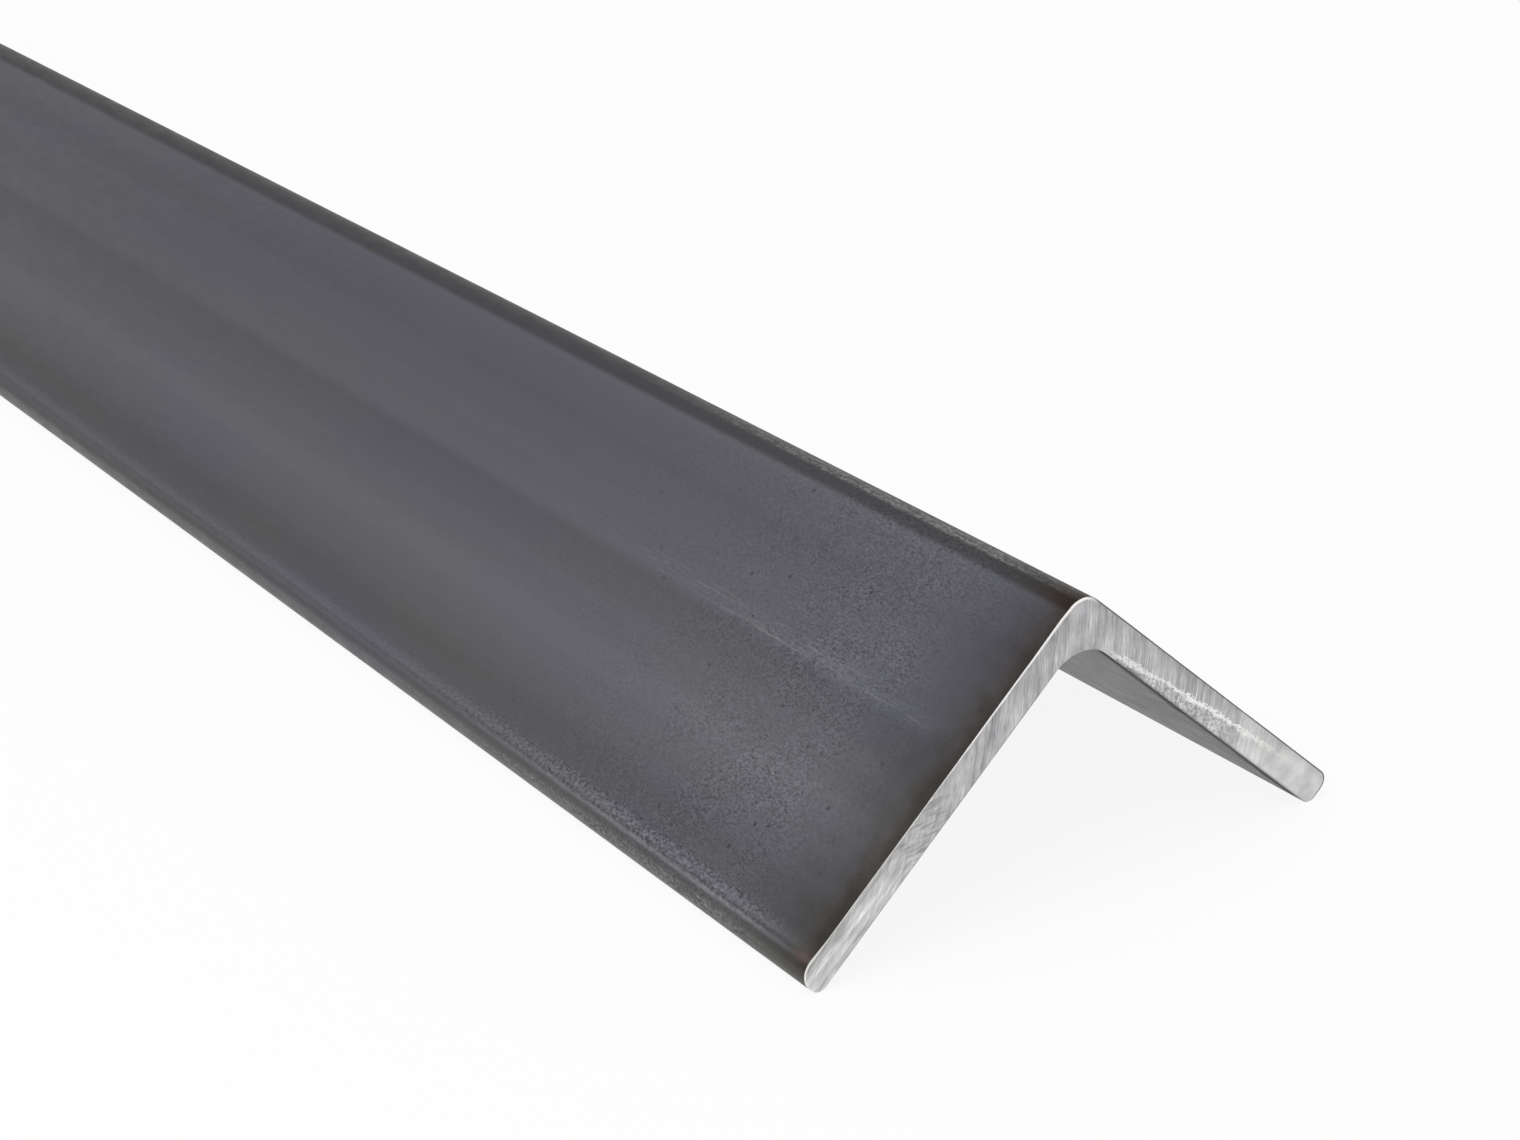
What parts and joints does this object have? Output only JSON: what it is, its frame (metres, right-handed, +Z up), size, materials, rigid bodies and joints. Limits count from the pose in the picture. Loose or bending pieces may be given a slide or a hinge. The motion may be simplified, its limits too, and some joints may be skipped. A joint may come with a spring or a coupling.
{
  "type": "steel angle section",
  "caption": "Hot-rolled steel angle with two equal legs meeting at a rounded heel, filleted root and rounded toes, in dark mill scale with sawn bright ends.",
  "frame": {"origin": "on the floor the two toes stand on, under the middle of the bounding box", "axes": "+Y along the rolled length, away from the skewed cut; +Z up, through the heel; +X towards the right leg, seen from the skewed cut"},
  "size_m": [0.069, 1, 0.0367],
  "materials": {
    "mill_scale_steel": "Hot-rolled steel in charcoal mill scale with faint blue, purple and brown cast, soft lengthwise bands, fine drag scratches and a dry grain; both cut ends are bare bright steel with saw and grinder marks."
  },
  "bodies": {
    "root": {"steel_angle": "mill_scale_steel"}
  },
  "joints": []
}
